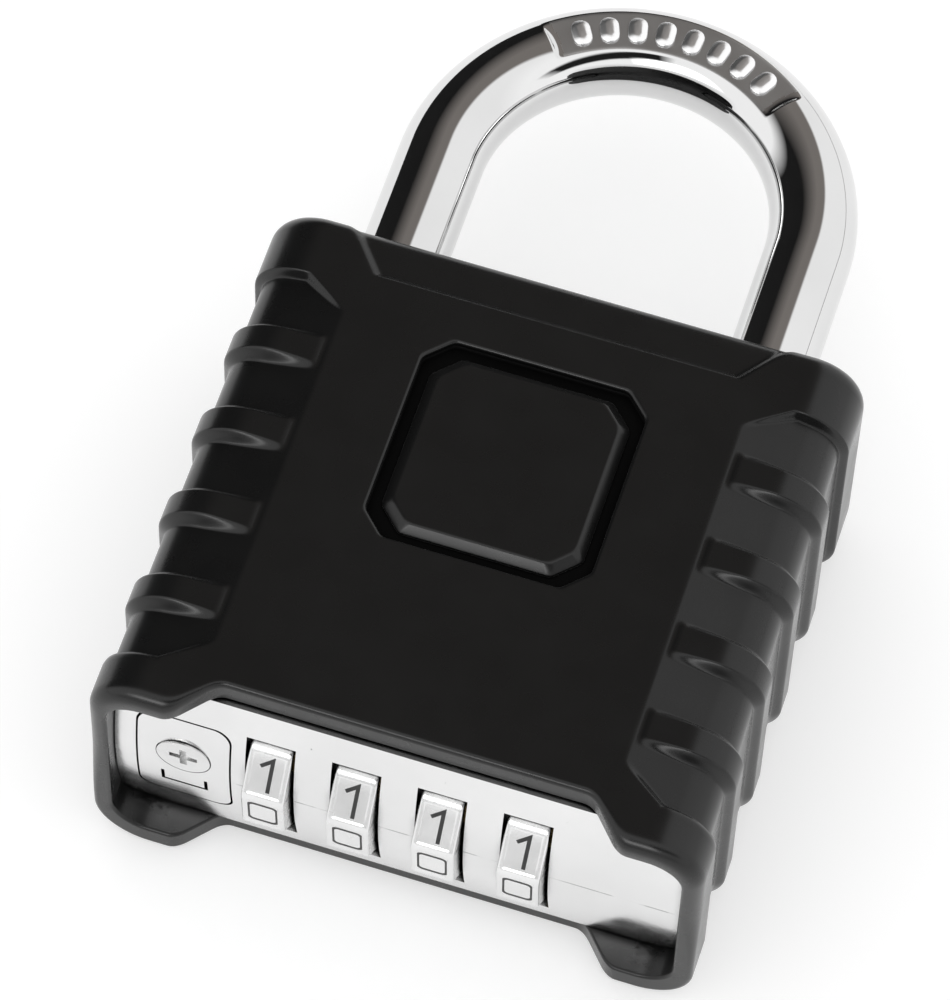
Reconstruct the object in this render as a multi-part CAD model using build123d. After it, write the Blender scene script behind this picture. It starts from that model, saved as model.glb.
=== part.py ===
from build123d import *
import math
import os

# A four-dial combination padlock, lying on its back.  While it is being modelled, x runs
# across the lock, y from the lower edge of the cover towards the shackle, and z from the
# mid-plane towards the front.  PLACE moves every piece into the part's own frame, whose
# origin is the middle of the back face of the cover, with +Z up.

# Driving dimensions, in millimetres
BODY_WIDTH = 60.8
BODY_DEPTH = 30.2
BODY_HEIGHT = 56.7
SHACKLE_DIAMETER = 9.0
LEG_SPACING = 38.6
BOW_CENTRE_HEIGHT = 75.0
SHACKLE_TRAVEL = 14.5
LATCH_TRAVEL = 2.2
DIAL_COUNT = 4
DIGIT_COUNT = 10
DIAL_PITCH = 8.5
DIAL_VERTEX_RADIUS = 9.3
DIAL_WIDTH = 4.3
DIAL_AXIS_HEIGHT = 8.4
SHAFT_SHIFT = 1.0

# Clearances
SLIDING = 0.1
PART_GAP = 0.3

HALF_WIDTH = BODY_WIDTH / 2
HALF_DEPTH = BODY_DEPTH / 2
PLACE = Pos(0, -BODY_HEIGHT / 2, HALF_DEPTH)

# Cover
COVER_CORNER_RADIUS = 5.6
TOP_EDGE_RADIUS = 2.2
LOWER_EDGE_RADIUS = 0.6
POCKET_HALF_WIDTH = 28.4
POCKET_HALF_DEPTH = 12.3
POCKET_CORNER_RADIUS = 3.6
POCKET_TOP = 54.2
NOTCH_HALF_WIDTH = 18.45
NOTCH_HEIGHT = 4.05
NOTCH_FLARE = 3.6
STEP_HALF_WIDTH = 18.35
STEP_HEIGHT = 51.45
STEP_FLARE = 4.6
STEP_DEPTH = 0.5

# Finger grips at the two sides of the cover
GRIP_START = 20.14
GRIP_CORNER = 25.0
GRIP_DEPTH = 0.87
GRIP_LOW = 5.33
GRIP_HIGH = 49.3
GRIP_CHEVRON = 3.1
RIDGE_START = 20.9
RIDGE_FIRST = 10.98
RIDGE_PITCH = 9.645
RIDGE_HEIGHT = 3.26
RIDGE_COUNT = 4

# Badge on the front
BADGE_HEIGHT = 35.2
BADGE_POCKET_HALF = 11.3
BADGE_HALF = 10.1
BADGE_CORNER = 2.5
BADGE_DEPTH = 1.2
BADGE_BEVEL = 1.2

# Cast body inside the cover
CASTING_GAP = 0.1
CASTING_HALF_DEPTH = POCKET_HALF_DEPTH - CASTING_GAP
CROWN_LOWEST = 1.64
CROWN_RADIUS = 40.1

# Shackle
SHACKLE_RADIUS = SHACKLE_DIAMETER / 2
LEG_X = LEG_SPACING / 2
TOE_TIP = 43.0
HEEL_END = 33.5
HEEL_COLLAR = 1.5
NECK_RADIUS = 3.3
PIN_RADIUS = 1.0
PIN_HEIGHT = HEEL_END + HEEL_COLLAR + SHACKLE_TRAVEL + PIN_RADIUS + 0.15
PIN_HALF_LENGTH = 7.0
PANEL_HALF_WIDTH = 2.2
PANEL_HALF_ANGLE = 39.0
HEEL_BORE_BOTTOM = 24.5

# Latch
LATCH_THICKNESS = 2.4
NOSE_LOW = 50.2
NOSE_HIGH = 51.8
RAMP_TOP = 52.2
RAMP_SLOPE = LATCH_TRAVEL / SHACKLE_TRAVEL
NOSE_GAP = 0.15
STEM_LEFT = -13.0
STEM_RIGHT = -7.0
BAR_LOW = 19.2
BAR_HIGH = 22.8
TOOTH_WIDTH = 0.8
TOOTH_OFFSET = 2.75
TOOTH_HALF_DEPTH = 0.8
TOOTH_REACH = 4.2
LATCH_SPRING_HEIGHT = 40.0
LATCH_SPRING_END = 3.0

# Code sleeves and dial shaft
SHAFT_RADIUS = 2.0
SLEEVE_HUB_APOTHEM = 3.2
FLANGE_RADIUS = 5.5
FLANGE_WIDTH = 0.8
FLANGE_OFFSET = 3.85
GATE_HALF_WIDTH = 1.2
GATE_FLOOR = 3.9
FLANGE_ROOM = 6.0
WHEEL_ROOM = 9.9
WINDOW_WIDTH = 4.9
WINDOW_HALF_LENGTH = 8.7
SHAFT_LEFT = -18.2
SHAFT_RIGHT = 21.0
SHAFT_SPRING_END = 25.5

# Reset cover, screw and cam
RESET_X = -21.4
RESET_PLATE_WIDTH = 9.2
RESET_PLATE_LENGTH = 14.5
RESET_PLATE_Z = 0.95
RESET_PLATE_THICKNESS = 1.3
RESET_SCREW_Z = 2.35
RESET_HEAD_RADIUS = 2.7
RESET_TAB_HALF_WIDTH = 2.0
RESET_TAB_LOW = -3.2
RESET_TAB_HIGH = -1.5
RESET_GROOVE = 0.35
RESET_SHANK_RADIUS = 1.0
RESET_SHANK_TOP = 6.2
CAM_RADIUS = 3.0
CAM_LOW = 6.9
CAM_HIGH = 9.9
CAM_STEM_RADIUS = 1.1

# Detent spring behind the dials
DETENT_Z = -9.95
DETENT_THICKNESS = 0.4
DETENT_HALF_LENGTH = 15.5

SCREW_SPOTS = [(-21.5, 37.5), (-21.5, 25.5), (9.0, 49.0), (9.0, 28.0)]
SCREW_RADIUS = 1.2
SCREW_HEAD_RADIUS = 2.3
SCREW_TIP_Z = 7.0
RIVET_SPOTS = [-8.5, 8.5]


def block(x, y, z):
    """Box from three (low, high) pairs."""
    centre = Pos(sum(x) / 2, sum(y) / 2, sum(z) / 2)
    return centre * Box(x[1] - x[0], y[1] - y[0], z[1] - z[0])


def rod_x(radius, x, y, z=0.0):
    """Cylinder along x, from x[0] to x[1]."""
    return Pos(sum(x) / 2, y, z) * Rot(0, 90, 0) * Cylinder(radius, x[1] - x[0])


def rod_y(radius, x, y, z=0.0):
    """Cylinder along y, from y[0] to y[1]."""
    return Pos(x, sum(y) / 2, z) * Rot(90, 0, 0) * Cylinder(radius, y[1] - y[0])


def rod_z(radius, x, y, z):
    """Cylinder along z, from z[0] to z[1]."""
    return Pos(x, y, sum(z) / 2) * Cylinder(radius, z[1] - z[0])


def plate(points, z):
    """Polygon in x and y, from z[0] to z[1]."""
    face = Polygon(*points, align=None)
    return Pos(0, 0, z[0]) * extrude(face, z[1] - z[0], dir=(0, 0, 1))


def column(sketch, y):
    """Sketch in x and z, symmetrical about z = 0, from y[0] to y[1]."""
    return Pos(0, y[0], 0) * Rot(-90, 0, 0) * extrude(sketch, y[1] - y[0])


def coil(radius, wire, length, turns):
    """Coil spring standing on the origin, along z."""
    rise = length - wire
    path = Pos(0, 0, wire / 2) * Helix(pitch=rise / turns, height=rise, radius=radius)
    return sweep((path ^ 0) * Circle(wire / 2), path=path, is_frenet=True)


def octagon(half, corner):
    """Square with cut corners."""
    inner = half - corner
    corners = [(half, inner), (inner, half), (-inner, half), (-half, inner)]
    corners += [(-half, -inner), (-inner, -half), (inner, -half), (half, -inner)]
    return corners


def dial_centres():
    """Middle of each dial, from left to right."""
    first = -DIAL_PITCH * (DIAL_COUNT - 1) / 2
    return [first + DIAL_PITCH * index for index in range(DIAL_COUNT)]


def grip_cutter():
    """Room between the cover's outer faces and the floor of the two finger grips."""
    floor = RectangleRounded(BODY_WIDTH - 2 * GRIP_DEPTH, BODY_DEPTH - 2 * GRIP_DEPTH, COVER_CORNER_RADIUS)
    floor += Rectangle(2 * GRIP_START, BODY_DEPTH)
    slant = HALF_DEPTH - GRIP_DEPTH
    for side in (1, -1):
        ends = [(GRIP_START, HALF_DEPTH), (GRIP_CORNER, slant), (GRIP_CORNER, -slant), (GRIP_START, -HALF_DEPTH)]
        floor += Polygon(*[(side * x, z) for x, z in ends], align=None)
    shell = column(Rectangle(BODY_WIDTH + 4, BODY_DEPTH + 4) - floor, (0, BODY_HEIGHT))
    room = None
    reach = HALF_WIDTH + 2
    deep = (-HALF_DEPTH - 2, HALF_DEPTH + 2)
    for side in (1, -1):
        outline = [
            (GRIP_START, GRIP_LOW + GRIP_CHEVRON),
            (GRIP_CORNER, GRIP_LOW),
            (reach, GRIP_LOW),
            (reach, GRIP_HIGH),
            (GRIP_CORNER, GRIP_HIGH),
            (GRIP_START, GRIP_HIGH - GRIP_CHEVRON),
        ]
        zone = plate([(side * x, y) for x, y in outline], deep)
        for index in range(RIDGE_COUNT):
            low = RIDGE_FIRST + index * RIDGE_PITCH
            span = sorted((side * RIDGE_START, side * reach))
            zone -= block(span, (low, low + RIDGE_HEIGHT), deep)
        room = zone if room is None else room + zone
    return shell & room


def make_outer_cover():
    """Black cover: a cap open at its lower end, with grips, a badge pocket and two shackle holes."""
    outside = column(RectangleRounded(BODY_WIDTH, BODY_DEPTH, COVER_CORNER_RADIUS), (0, BODY_HEIGHT))
    outside = fillet(outside.faces().sort_by(Axis.Y)[-1].edges(), TOP_EDGE_RADIUS)
    outside = fillet(outside.faces().sort_by(Axis.Y)[0].edges(), LOWER_EDGE_RADIUS)
    cover = outside - grip_cutter()
    pocket = RectangleRounded(2 * POCKET_HALF_WIDTH, 2 * POCKET_HALF_DEPTH, POCKET_CORNER_RADIUS)
    cover -= column(pocket, (-1, POCKET_TOP))
    through = (-HALF_DEPTH - 1, HALF_DEPTH + 1)
    wide = NOTCH_HALF_WIDTH + NOTCH_FLARE
    cover -= plate(
        [(-NOTCH_HALF_WIDTH, NOTCH_HEIGHT), (NOTCH_HALF_WIDTH, NOTCH_HEIGHT), (wide, 0), (-wide, 0)],
        through,
    )
    wide = STEP_HALF_WIDTH + STEP_FLARE
    step = [(-STEP_HALF_WIDTH, STEP_HEIGHT), (STEP_HALF_WIDTH, STEP_HEIGHT)]
    step += [(wide, BODY_HEIGHT + 0.5), (-wide, BODY_HEIGHT + 0.5)]
    cover -= plate(step, (HALF_DEPTH - STEP_DEPTH, HALF_DEPTH + 1))
    cover -= plate(step, (-HALF_DEPTH - 1, STEP_DEPTH - HALF_DEPTH))
    cover -= Pos(0, BADGE_HEIGHT, 0) * plate(
        octagon(BADGE_POCKET_HALF, BADGE_CORNER), (HALF_DEPTH - BADGE_DEPTH, HALF_DEPTH + 1)
    )
    for side in (1, -1):
        cover -= rod_y(SHACKLE_RADIUS + PART_GAP, side * LEG_X, (POCKET_TOP - 1, BODY_HEIGHT + 1))
    return cover


def make_front_badge():
    """Blank bevelled pad in the middle of the front."""
    pad = plate(octagon(BADGE_HALF, BADGE_CORNER), (HALF_DEPTH - BADGE_DEPTH, HALF_DEPTH))
    pad = chamfer(pad.faces().sort_by(Axis.Z)[-1].edges(), BADGE_DEPTH * 0.6, BADGE_BEVEL)
    return Pos(0, BADGE_HEIGHT, 0) * pad


def crown(depth=0.0):
    """Solid bounded by the curved lower face of the castings, moved inwards by depth."""
    span = (-HALF_WIDTH, HALF_WIDTH)
    return rod_x(CROWN_RADIUS - depth, span, CROWN_LOWEST + CROWN_RADIUS)


def reset_recess(grow, depth):
    """Curved slab under the lower face at the reset cover's place."""
    outline = RectangleRounded(RESET_PLATE_WIDTH + 2 * grow, RESET_PLATE_LENGTH + 2 * grow, 1.8)
    slab = Pos(RESET_X, 0, RESET_PLATE_Z) * column(outline, (0, 8))
    return (slab & crown()) - crown(depth)


def latch_room():
    """Channel in which the latch slides, with the pocket of its spring."""
    deep = (-LATCH_THICKNESS / 2 - SLIDING, LATCH_THICKNESS / 2 + SLIDING)
    stem = (STEM_LEFT - 2.5, STEM_RIGHT + LATCH_TRAVEL + 0.4)
    room = block(stem, (BAR_LOW - PART_GAP, 52.6), deep)
    bar = (-11.5, dial_centres()[-1] + TOOTH_OFFSET + TOOTH_WIDTH + LATCH_TRAVEL + PART_GAP)
    room += block(bar, (BAR_LOW - PART_GAP, BAR_HIGH + PART_GAP), deep)
    room += rod_x(2.2, (STEM_LEFT, LATCH_SPRING_END), LATCH_SPRING_HEIGHT)
    return room


def dial_room():
    """Wheel windows, sleeve rooms, tooth slots and shaft bearings."""
    room = rod_x(SHAFT_RADIUS + 0.05, (-19, SHAFT_RIGHT + 0.5), DIAL_AXIS_HEIGHT)
    room += rod_x(SHAFT_RADIUS + 0.6, (SHAFT_RIGHT, SHAFT_SPRING_END), DIAL_AXIS_HEIGHT)
    half = WINDOW_WIDTH / 2
    for centre in dial_centres():
        room += rod_x(WHEEL_ROOM, (centre - half, centre + half), DIAL_AXIS_HEIGHT)
        span = (-WINDOW_HALF_LENGTH, WINDOW_HALF_LENGTH)
        room += block((centre - half, centre + half), (0, 4.5), span)
        sleeve = (centre + half - 0.1, centre + DIAL_PITCH - half)
        room += rod_x(FLANGE_ROOM, sleeve, DIAL_AXIS_HEIGHT)
        room += block(sleeve, (DIAL_AXIS_HEIGHT, BAR_LOW), (-GATE_HALF_WIDTH, GATE_HALF_WIDTH))
    return room


def detent_room():
    """Room for the detent spring's base and fingers, behind the dials."""
    end = DETENT_HALF_LENGTH + PART_GAP
    room = block((-end, end), (16.9, 21.0), (DETENT_Z, 0))
    for centre in dial_centres():
        room += block((centre - 1.7, centre + 1.7), (7.0, 17.5), (DETENT_Z, -8))
    return room


def reset_room():
    """Room for the reset cover, its screw and the reset cam."""
    room = reset_recess(0.2, RESET_PLATE_THICKNESS + 0.1)
    room += rod_y(RESET_SHANK_RADIUS + SLIDING, RESET_X, (2, RESET_SHANK_TOP + 0.2), RESET_SCREW_Z)
    room += rod_y(CAM_RADIUS + SHAFT_SHIFT + PART_GAP, RESET_X, (CAM_LOW - 0.2, CAM_HIGH + 0.2))
    room += rod_y(CAM_STEM_RADIUS + SLIDING, RESET_X, (2.5, CAM_LOW))
    room += rod_y(CAM_STEM_RADIUS + SLIDING, RESET_X, (CAM_HIGH, 13.0))
    return room


def shackle_room():
    """The two shackle bores and the retaining pin's hole."""
    room = rod_y(SHACKLE_RADIUS + SLIDING, -LEG_X, (TOE_TIP - 1, BODY_HEIGHT))
    room += rod_y(SHACKLE_RADIUS + SLIDING, LEG_X, (HEEL_BORE_BOTTOM, BODY_HEIGHT))
    pin_x = LEG_X + NECK_RADIUS + PIN_RADIUS + 0.15
    room += rod_z(PIN_RADIUS, pin_x, PIN_HEIGHT, (-PIN_HALF_LENGTH, PIN_HALF_LENGTH))
    return room


def screw_solid(x, y, grow=0.0):
    """Countersunk screw, or with grow the room that it needs."""
    back = -CASTING_HALF_DEPTH
    cone = Pos(x, y, back + 0.6) * Cone(SCREW_HEAD_RADIUS + grow, SCREW_RADIUS + grow, 1.2)
    return cone + rod_z(SCREW_RADIUS + grow, x, y, (back + 0.6, SCREW_TIP_Z + grow))


def make_castings():
    """Front and rear castings, parted on the mid-plane."""
    outline = RectangleRounded(
        2 * (POCKET_HALF_WIDTH - CASTING_GAP), 2 * CASTING_HALF_DEPTH, POCKET_CORNER_RADIUS - CASTING_GAP
    )
    whole = column(outline, (0, POCKET_TOP)) & crown()
    whole -= latch_room()
    whole -= dial_room()
    whole -= reset_room()
    whole -= shackle_room()
    for x, y in SCREW_SPOTS:
        whole -= screw_solid(x, y, 0.05)
    wide = (-HALF_WIDTH, HALF_WIDTH)
    tall = (0, BODY_HEIGHT)
    front = whole & block(wide, tall, (0, HALF_DEPTH))
    rear = whole & block(wide, tall, (-HALF_DEPTH, 0))
    rear -= detent_room()
    for x in RIVET_SPOTS:
        rear -= rod_z(0.8, x, 19.0, (DETENT_Z - 1.5, DETENT_Z))
    return front, rear


def make_casting_screws():
    """Four countersunk screws that hold the castings together, with cross recesses."""
    back = -CASTING_HALF_DEPTH
    screws = []
    for x, y in SCREW_SPOTS:
        screw = screw_solid(x, y)
        screw -= block((x - 1.3, x + 1.3), (y - 0.25, y + 0.25), (back, back + 0.7))
        screw -= block((x - 0.25, x + 0.25), (y - 1.3, y + 1.3), (back, back + 0.7))
        screws.append(screw)
    return Part() + screws


def make_shackle():
    """Round bar bent to a U, with a latch ramp on the toe leg and a neck on the heel leg."""
    path = Line((-LEG_X, TOE_TIP), (-LEG_X, BOW_CENTRE_HEIGHT))
    path += RadiusArc((-LEG_X, BOW_CENTRE_HEIGHT), (LEG_X, BOW_CENTRE_HEIGHT), LEG_X)
    path += Line((LEG_X, BOW_CENTRE_HEIGHT), (LEG_X, HEEL_END))
    section = Pos(-LEG_X, TOE_TIP, 0) * Rot(-90, 0, 0) * Circle(SHACKLE_RADIUS)
    bar = sweep(section, path=path)
    bar = chamfer(bar.edges().group_by(Axis.Y)[0], 0.8)
    tip = bar.edges().filter_by(lambda edge: abs(edge.center().Y - TOE_TIP) < 0.01)
    bar = chamfer(tip, 0.9)

    inner_side = -LEG_X + SHACKLE_RADIUS
    ramp_depth = RAMP_SLOPE * (RAMP_TOP - TOE_TIP)
    ramp = [(inner_side, TOE_TIP), (inner_side - ramp_depth, RAMP_TOP), (inner_side + 1, RAMP_TOP)]
    ramp += [(inner_side + 1, TOE_TIP)]
    bar -= plate(ramp, (-SHACKLE_RADIUS, SHACKLE_RADIUS))

    neck = (HEEL_END + HEEL_COLLAR, PIN_HEIGHT + PIN_RADIUS + 0.5)
    ring = rod_y(SHACKLE_RADIUS + 1, LEG_X, neck) - rod_y(NECK_RADIUS, LEG_X, neck)
    bar -= ring

    panel = Circle(LEG_X + PANEL_HALF_WIDTH) - Circle(LEG_X - PANEL_HALF_WIDTH)
    reach = LEG_X * 2
    side = reach * math.sin(math.radians(PANEL_HALF_ANGLE))
    rise = reach * math.cos(math.radians(PANEL_HALF_ANGLE))
    panel &= Polygon((0, 0), (side, rise), (0, reach), (-side, rise), align=None)
    floor = math.sqrt(SHACKLE_RADIUS**2 - PANEL_HALF_WIDTH**2)
    bar -= Pos(0, BOW_CENTRE_HEIGHT, floor) * extrude(panel, SHACKLE_RADIUS)
    return bar


def make_latch():
    """Flat latch: a nose at the toe leg, and a comb whose teeth pass the sleeve gates."""
    thick = (-LATCH_THICKNESS / 2, LATCH_THICKNESS / 2)
    inner_side = -LEG_X + SHACKLE_RADIUS
    nose_low_x = inner_side - RAMP_SLOPE * (NOSE_LOW - TOE_TIP) + NOSE_GAP
    nose_high_x = nose_low_x - RAMP_SLOPE * (NOSE_HIGH - NOSE_LOW)
    outline = [
        (nose_low_x, NOSE_LOW),
        (nose_high_x, NOSE_HIGH),
        (STEM_RIGHT, NOSE_HIGH),
        (STEM_RIGHT, BAR_HIGH),
        (dial_centres()[-1] + TOOTH_OFFSET + TOOTH_WIDTH, BAR_HIGH),
        (dial_centres()[-1] + TOOTH_OFFSET + TOOTH_WIDTH, BAR_LOW),
        (-11.0, BAR_LOW),
        (-11.0, BAR_HIGH + 4),
        (STEM_LEFT, BAR_HIGH + 6),
        (STEM_LEFT, NOSE_LOW),
    ]
    latch = plate(outline, thick)
    for centre in dial_centres():
        left = centre + TOOTH_OFFSET
        tooth = (DIAL_AXIS_HEIGHT + TOOTH_REACH, BAR_LOW + 1)
        latch += block((left, left + TOOTH_WIDTH), tooth, (-TOOTH_HALF_DEPTH, TOOTH_HALF_DEPTH))
    latch -= plate([(-11.4, 32), (-8.6, 32), (-8.6, 36), (-11.4, 36)], thick)
    return latch


def make_dial_wheel(centre):
    """Ten-sided wheel with rounded corners and a ten-sided bore."""
    wheel = extrude(RegularPolygon(DIAL_VERTEX_RADIUS, DIGIT_COUNT), DIAL_WIDTH)
    wheel = fillet(wheel.edges().filter_by(Axis.Z), 0.8)
    wheel = chamfer(wheel.faces().sort_by(Axis.Z)[-1].edges(), 0.2)
    wheel = chamfer(wheel.faces().sort_by(Axis.Z)[0].edges(), 0.2)
    bore = RegularPolygon(SLEEVE_HUB_APOTHEM + 0.04, DIGIT_COUNT, major_radius=False)
    wheel -= extrude(bore, DIAL_WIDTH)
    return Pos(centre - DIAL_WIDTH / 2, DIAL_AXIS_HEIGHT, 0) * Rot(0, 90, 0) * wheel


def make_code_sleeve(centre):
    """Ten-sided hub inside the wheel, and a flange with the gate for the latch's tooth."""
    hub = extrude(RegularPolygon(SLEEVE_HUB_APOTHEM, DIGIT_COUNT, major_radius=False), FLANGE_OFFSET + 2.0)
    sleeve = Pos(centre - 2.0, DIAL_AXIS_HEIGHT, 0) * Rot(0, 90, 0) * hub
    flange = (centre + FLANGE_OFFSET, centre + FLANGE_OFFSET + FLANGE_WIDTH)
    sleeve += rod_x(FLANGE_RADIUS, flange, DIAL_AXIS_HEIGHT)
    gate = (DIAL_AXIS_HEIGHT + GATE_FLOOR, DIAL_AXIS_HEIGHT + FLANGE_RADIUS + 1)
    sleeve -= block(flange, gate, (-GATE_HALF_WIDTH, GATE_HALF_WIDTH))
    length = (centre - 3, centre + DIAL_PITCH)
    return sleeve - rod_x(SHAFT_RADIUS + 0.06, length, DIAL_AXIS_HEIGHT)


def make_detent_spring():
    """Leaf spring with a finger behind each dial."""
    thick = (DETENT_Z, DETENT_Z + DETENT_THICKNESS)
    spring = block((-DETENT_HALF_LENGTH, DETENT_HALF_LENGTH), (17.2, 20.7), thick)
    for centre in dial_centres():
        spring += block((centre - 1.4, centre + 1.4), (7.3, 17.5), thick)
    for x in RIVET_SPOTS:
        spring -= rod_z(0.8, x, 19.0, (DETENT_Z - 1, DETENT_Z + 1))
    return spring


def make_detent_rivets():
    """Two rivets that hold the detent spring to the rear casting."""
    rivets = []
    face = DETENT_Z + DETENT_THICKNESS
    for x in RIVET_SPOTS:
        rivet = rod_z(0.8, x, 19.0, (DETENT_Z - 1.5, face)) + rod_z(1.3, x, 19.0, (face, face + 0.5))
        rivets.append(rivet)
    return Part() + rivets


def make_reset_cover_plate():
    """Small curved cover over the reset cam, with a countersunk hole and a U-shaped groove."""
    cover = reset_recess(0.0, RESET_PLATE_THICKNESS)
    cover -= rod_y(RESET_SHANK_RADIUS + SLIDING, RESET_X, (0, 8), RESET_SCREW_Z)
    cover -= reset_head(SLIDING)
    groove = RESET_TAB_HALF_WIDTH + RESET_GROOVE
    depth = (0, CROWN_LOWEST + 0.7)
    tab = block((RESET_X - RESET_TAB_HALF_WIDTH, RESET_X + RESET_TAB_HALF_WIDTH), depth, (RESET_TAB_LOW, 0))
    around = (RESET_TAB_LOW - RESET_GROOVE, RESET_TAB_HIGH)
    return cover - (block((RESET_X - groove, RESET_X + groove), depth, around) - tab)


def reset_head(grow=0.0):
    """Cone under the reset screw's head."""
    head_low = CROWN_LOWEST + 0.15
    cone = Cone(RESET_HEAD_RADIUS + grow, RESET_SHANK_RADIUS + grow, 1.1)
    cone = Pos(RESET_X, head_low + 0.55, RESET_SCREW_Z) * Rot(-90, 0, 0) * cone
    return cone + rod_y(RESET_HEAD_RADIUS + grow, RESET_X, (head_low - 0.5, head_low), RESET_SCREW_Z)


def make_reset_cover_screw():
    """Countersunk screw of the reset cover, with a cross recess."""
    head_low = CROWN_LOWEST + 0.15
    screw = reset_head() & block((RESET_X - 4, RESET_X + 4), (head_low - 0.15, 6), (-2, 8))
    screw += rod_y(RESET_SHANK_RADIUS, RESET_X, (head_low + 0.5, RESET_SHANK_TOP), RESET_SCREW_Z)
    for length, width in ((1.4, 0.35), (0.35, 1.4)):
        across = (RESET_X - length, RESET_X + length)
        screw -= block(across, (0, head_low + 0.6), (RESET_SCREW_Z - width, RESET_SCREW_Z + width))
    return screw


def make_reset_cam():
    """Spiral cam that pushes the dial shaft aside when it is turned a quarter."""
    steps = 18
    points = []
    for index in range(steps + 1):
        angle = math.pi / 2 * index / steps
        radius = CAM_RADIUS + SHAFT_SHIFT * index / steps
        points.append((radius * math.cos(angle), radius * math.sin(angle)))
    top = CAM_RADIUS + SHAFT_SHIFT
    edge = Spline(*points)
    edge += RadiusArc((0, top), (0, -top), -top)
    edge += Line((0, -top), (0, -CAM_RADIUS))
    edge += RadiusArc((0, -CAM_RADIUS), (CAM_RADIUS, 0), -CAM_RADIUS)
    disc = extrude(make_face(edge), CAM_HIGH - CAM_LOW)
    cam = Pos(RESET_X, CAM_HIGH, 0) * Rot(90, 0, 0) * disc
    cam += rod_y(CAM_STEM_RADIUS, RESET_X, (3.4, 12.7))
    return cam - block((RESET_X - 2, RESET_X + 2), (3.4, 4.2), (-0.25, 0.25))


def make_springs():
    """Heel spring under the shackle, latch return spring and dial shaft spring."""
    heel = coil(3.2, 0.8, HEEL_END - HEEL_BORE_BOTTOM, 6)
    heel = Pos(LEG_X, HEEL_BORE_BOTTOM, 0) * Rot(-90, 0, 0) * heel
    latch = coil(1.5, 0.5, LATCH_SPRING_END - STEM_RIGHT, 8)
    latch = Pos(STEM_RIGHT, LATCH_SPRING_HEIGHT, 0) * Rot(0, 90, 0) * latch
    shaft = coil(1.7, 0.5, SHAFT_SPRING_END - SHAFT_RIGHT, 4)
    shaft = Pos(SHAFT_RIGHT, DIAL_AXIS_HEIGHT, 0) * Rot(0, 90, 0) * shaft
    return heel, latch, shaft


def main():
    os.makedirs("parts", exist_ok=True)
    front_casting, rear_casting = make_castings()
    heel_spring, latch_spring, shaft_spring = make_springs()
    pin_x = LEG_X + NECK_RADIUS + PIN_RADIUS + 0.15
    pieces = {
        "outer_cover": make_outer_cover(),
        "front_badge": make_front_badge(),
        "front_casting": front_casting,
        "rear_casting": rear_casting,
        "casting_screws": make_casting_screws(),
        "retaining_pin": rod_z(PIN_RADIUS, pin_x, PIN_HEIGHT, (-PIN_HALF_LENGTH, PIN_HALF_LENGTH)),
        "shackle": make_shackle(),
        "heel_spring": heel_spring,
        "latch_slide": make_latch(),
        "latch_spring": latch_spring,
        "dial_shaft": rod_x(SHAFT_RADIUS, (SHAFT_LEFT, SHAFT_RIGHT), DIAL_AXIS_HEIGHT),
        "shaft_spring": shaft_spring,
        "detent_spring": make_detent_spring(),
        "detent_rivets": make_detent_rivets(),
        "reset_cover_plate": make_reset_cover_plate(),
        "reset_cover_screw": make_reset_cover_screw(),
        "reset_cam": make_reset_cam(),
    }
    for index, centre in enumerate(dial_centres(), start=1):
        pieces[f"dial_wheel_{index}"] = make_dial_wheel(centre)
        pieces[f"code_sleeve_{index}"] = make_code_sleeve(centre)
    for name, piece in pieces.items():
        export_step(PLACE * piece, f"parts/{name}.step")


main()
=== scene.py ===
import math

import bmesh
import bpy
import numpy as np
from mathutils import Matrix, Vector


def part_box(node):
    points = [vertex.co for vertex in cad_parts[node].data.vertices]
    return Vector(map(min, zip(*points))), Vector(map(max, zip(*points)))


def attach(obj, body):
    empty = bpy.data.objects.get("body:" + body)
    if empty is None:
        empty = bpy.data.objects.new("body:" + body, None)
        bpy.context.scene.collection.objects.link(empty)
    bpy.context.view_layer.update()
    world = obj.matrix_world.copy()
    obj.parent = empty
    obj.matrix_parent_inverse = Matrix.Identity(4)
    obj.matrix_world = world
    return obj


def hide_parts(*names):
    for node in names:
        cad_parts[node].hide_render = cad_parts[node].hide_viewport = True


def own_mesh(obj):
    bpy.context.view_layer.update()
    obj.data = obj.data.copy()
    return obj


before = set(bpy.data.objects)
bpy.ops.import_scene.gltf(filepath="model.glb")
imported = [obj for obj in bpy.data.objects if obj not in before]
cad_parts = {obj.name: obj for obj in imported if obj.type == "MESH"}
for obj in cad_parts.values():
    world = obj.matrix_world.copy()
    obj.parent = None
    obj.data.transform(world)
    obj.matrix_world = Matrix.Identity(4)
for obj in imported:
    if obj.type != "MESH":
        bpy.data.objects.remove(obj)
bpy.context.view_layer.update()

# The pieces are modelled in millimetres, in the lock's own directions: x across the lock,
# y up from the lower edge of the cover towards the shackle, z forwards from the mid-plane.
MM = 0.001
cover_low, cover_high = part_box("outer_cover")
HALF_WIDTH = (cover_high.x - cover_low.x) / 2 / MM
BODY_HEIGHT = (cover_high.y - cover_low.y) / MM
HALF_DEPTH = (cover_high.z - cover_low.z) / 2 / MM
ORIGIN = Vector((0.0, cover_low.y, (cover_low.z + cover_high.z) / 2))

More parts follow.
